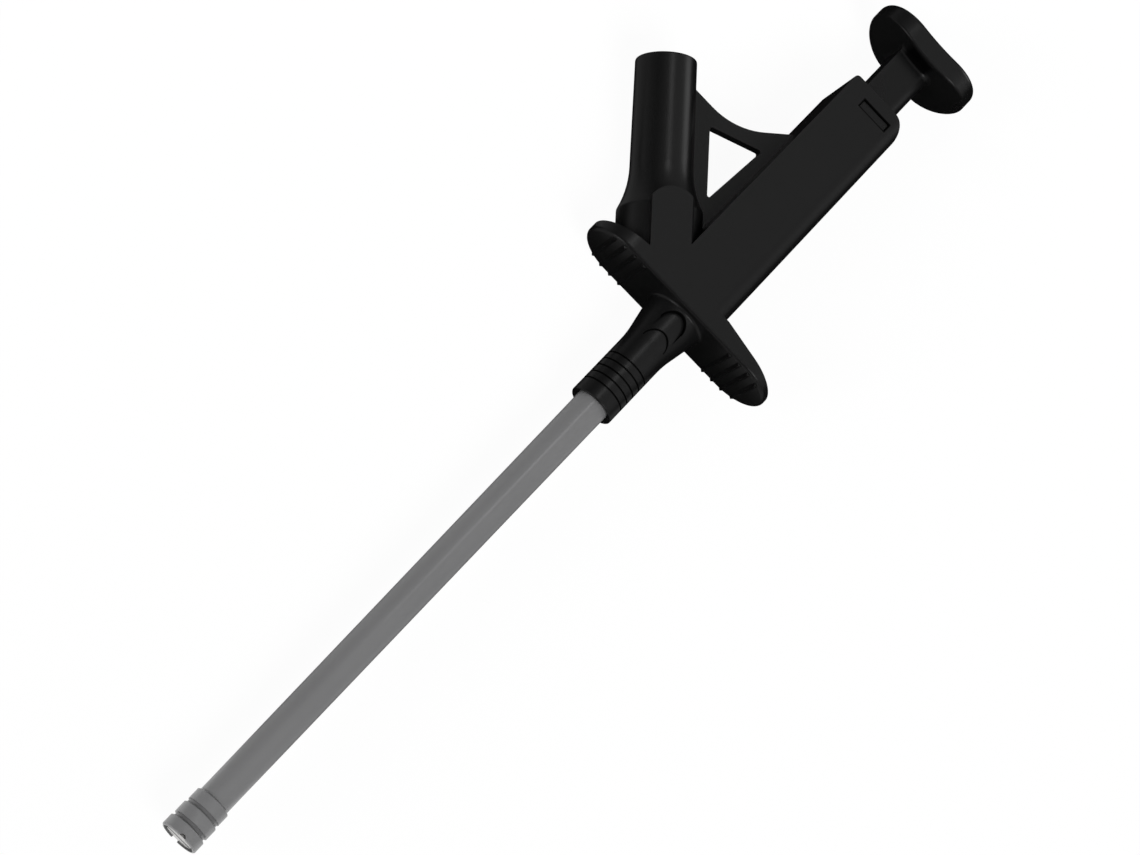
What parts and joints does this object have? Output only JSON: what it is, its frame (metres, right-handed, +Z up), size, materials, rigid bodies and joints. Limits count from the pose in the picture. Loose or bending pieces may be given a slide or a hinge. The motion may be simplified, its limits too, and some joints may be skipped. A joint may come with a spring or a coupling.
{
  "type": "clamp test probe",
  "caption": "Long-reach spring clamp probe: a thumb plunger pushes jaws out of a slim insulated shaft; a leaning shrouded socket takes a 4 mm test plug.",
  "frame": {"origin": "on the flat resting side, under the shaft's axis, at the back of the finger flange where the body begins", "axes": "+X along the shaft from the jaws to the thumb button, +Y to the side that carries the plug socket, +Z up out of the flat side; the shaft's axis is at Z = 7 mm"},
  "size_m": [0.1892, 0.0556, 0.014],
  "materials": {
    "grip_plastic": "fine-grained black nylon moulding",
    "tube_plastic": "mid-grey nylon tube, smooth satin",
    "guide_plastic": "black moulded insert",
    "plunger_plastic": "black nylon moulding, satin",
    "collar_plastic": "black insulating insert",
    "contact_brass": "nickel-plated brass, bright",
    "pin_brass": "turned brass",
    "bush_brass": "turned brass",
    "wiper_bronze": "spring bronze strip",
    "washer_steel": "stamped steel",
    "spring_steel": "drawn stainless wire",
    "rod_steel": "ground stainless rod",
    "sleeve_plastic": "translucent white sleeve",
    "collar_steel": "turned steel",
    "pin_steel": "turned steel",
    "carrier_nickel": "nickel-plated",
    "pivot_steel": "drawn pin",
    "jaw_spring_steel": "rolled spring strip",
    "jaw_nickel": "nickel-plated, bright"
  },
  "bodies": {
    "grip": {"housing": "grip_plastic", "shaft_tube": "tube_plastic", "rear_guide": "guide_plastic", "socket_collar": "collar_plastic", "socket_contact": "contact_brass", "link_pin": "pin_brass", "contact_bush": "bush_brass", "contact_wiper": "wiper_bronze", "spring_washer": "washer_steel", "return_spring": "spring_steel"},
    "plunger": {"thumb_plunger": "plunger_plastic", "push_rod": "rod_steel", "rod_sleeve": "sleeve_plastic", "stop_collar": "collar_steel", "rod_cross_pin": "pin_steel", "jaw_carrier": "carrier_nickel", "jaw_pin": "pivot_steel", "jaw_spring": "jaw_spring_steel"},
    "upper_claw": {"jaw_upper": "jaw_nickel"},
    "lower_claw": {"jaw_lower": "jaw_nickel"}
  },
  "joints": [
    {"name": "plunger_slide", "type": "slide", "parent": "grip", "child": "plunger", "axis": [-1, 0, 0], "range_m": [0, 0.008], "stiffness_N_per_m": 400, "springref_m": -0.005, "deforming": ["return_spring"]},
    {"name": "jaw_upper_hinge", "type": "hinge", "parent": "plunger", "child": "upper_claw", "pos_m": [-0.1109, 0, 0.007], "axis": [0, 1, 0], "range_deg": [0, 15], "deforming": ["jaw_spring"]},
    {"name": "jaw_lower_hinge", "type": "hinge", "parent": "plunger", "child": "lower_claw", "pos_m": [-0.1109, 0, 0.007], "axis": [0, -1, 0], "range_deg": [0, 15]}
  ],
  "couplings": [
    {"joint": "jaw_upper_hinge", "follows": "plunger_slide", "rad_per_m": 32.7},
    {"joint": "jaw_lower_hinge", "follows": "plunger_slide", "rad_per_m": 32.7}
  ]
}
